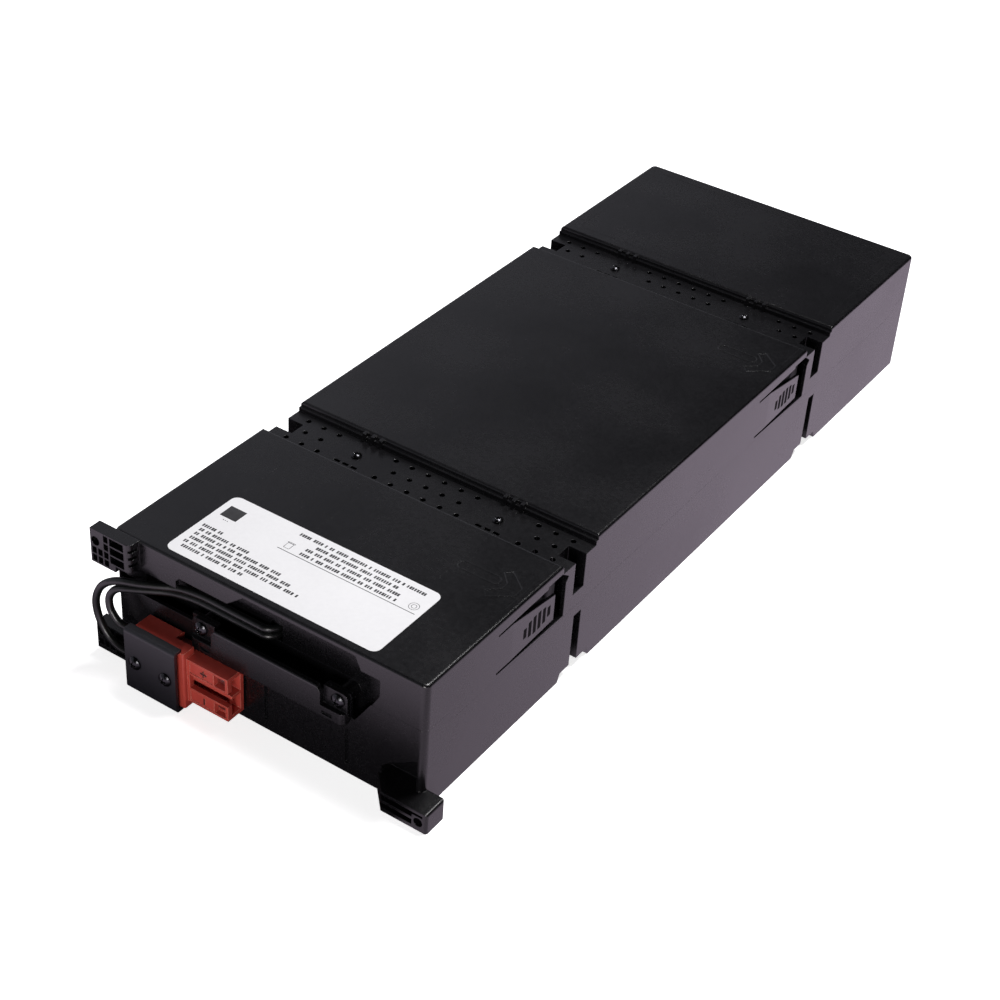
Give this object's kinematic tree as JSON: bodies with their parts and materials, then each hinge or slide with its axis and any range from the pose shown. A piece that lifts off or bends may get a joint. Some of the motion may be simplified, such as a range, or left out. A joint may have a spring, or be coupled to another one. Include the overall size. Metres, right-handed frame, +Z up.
{
  "type": "ups battery cartridge",
  "caption": "Long flat two-shell battery cartridge with screw ears, a recessed grip bar and a two-pole plug on its front end.",
  "frame": {"origin": "middle of the case's flat underside", "axes": "+Z up towards the lids, +Y along the length from the plug end to the rear, +X to the right seen from the plug end"},
  "size_m": [0.2098, 0.5385, 0.078],
  "materials": {
    "black_plastic": "satin moulded black",
    "red_plastic": "glossy brick red",
    "black_sheet": "satin black coated sheet",
    "black_screws": "black oxide",
    "battery_case": "dark grey moulded case",
    "tab_metal": "tinned",
    "contact_metal": "silver plated",
    "sleeve_nylon": "natural nylon",
    "lead_sheath": "satin black insulation"
  },
  "bodies": {
    "root": {"battery_1": "battery_case", "battery_2": "battery_case", "battery_3": "battery_case", "battery_4": "battery_case", "battery_5": "battery_case", "battery_6": "battery_case", "battery_7": "battery_case", "battery_8": "battery_case", "bracket_screws": "black_screws", "connector_bracket": "black_sheet", "connector_contact_negative": "contact_metal", "connector_contact_positive": "contact_metal", "connector_housing": "red_plastic", "cover_screws": "black_screws", "handle_bar": "black_plastic", "handle_screws": "black_screws", "lower_tray": "black_plastic", "output_lead_negative": "lead_sheath", "output_lead_positive": "lead_sheath", "series_lead_1": "lead_sheath", "series_lead_2": "lead_sheath", "series_lead_3": "lead_sheath", "series_lead_4": "lead_sheath", "series_lead_5": "lead_sheath", "series_lead_6": "lead_sheath", "series_lead_7": "lead_sheath", "terminal_sleeves": "sleeve_nylon", "terminal_tabs": "tab_metal", "upper_cover": "black_plastic"}
  },
  "joints": []
}
